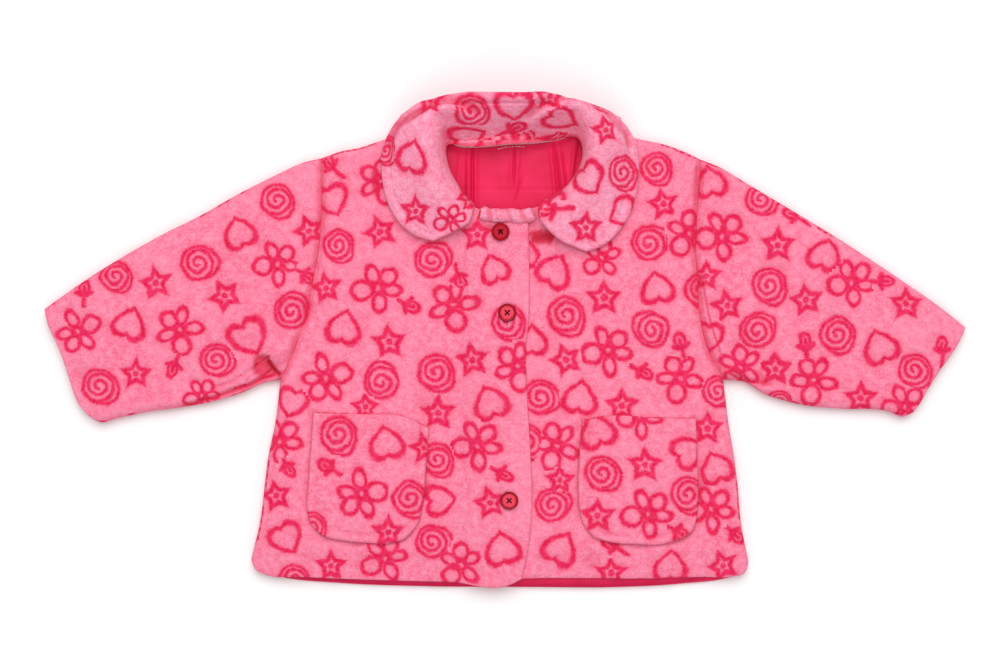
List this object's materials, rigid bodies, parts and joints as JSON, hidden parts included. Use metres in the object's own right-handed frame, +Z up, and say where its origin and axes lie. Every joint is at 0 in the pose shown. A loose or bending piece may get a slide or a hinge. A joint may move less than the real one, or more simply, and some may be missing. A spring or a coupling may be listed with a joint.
{
  "type": "child's fleece jacket laid flat",
  "caption": "Child's printed fleece jacket with a rounded turned-down collar, patch pockets and a buttoned front, laid flat on its back.",
  "frame": {"origin": "on the surface that the jacket lies on, below the middle of its bounding box", "axes": "+X along the sleeves towards the wearer's left cuff, +Y from the hem to the collar, +Z up from the surface"},
  "size_m": [0.691, 0.3683, 0.0469],
  "materials": {
    "fleece": "matt napped pink fleece with a deep pink printed pattern",
    "lining": "smooth raspberry woven lining with a slight sheen",
    "button": "glossy translucent red"
  },
  "bodies": {
    "root": {"back_panel": "fleece", "back_lining": "lining", "front_right": "fleece", "front_left": "fleece", "sleeve_right": "fleece", "sleeve_left": "fleece", "collar": "fleece", "neck_band": "fleece", "pocket_right": "fleece", "pocket_left": "fleece", "button_top": "button", "button_middle": "button", "button_low": "button"}
  },
  "joints": []
}
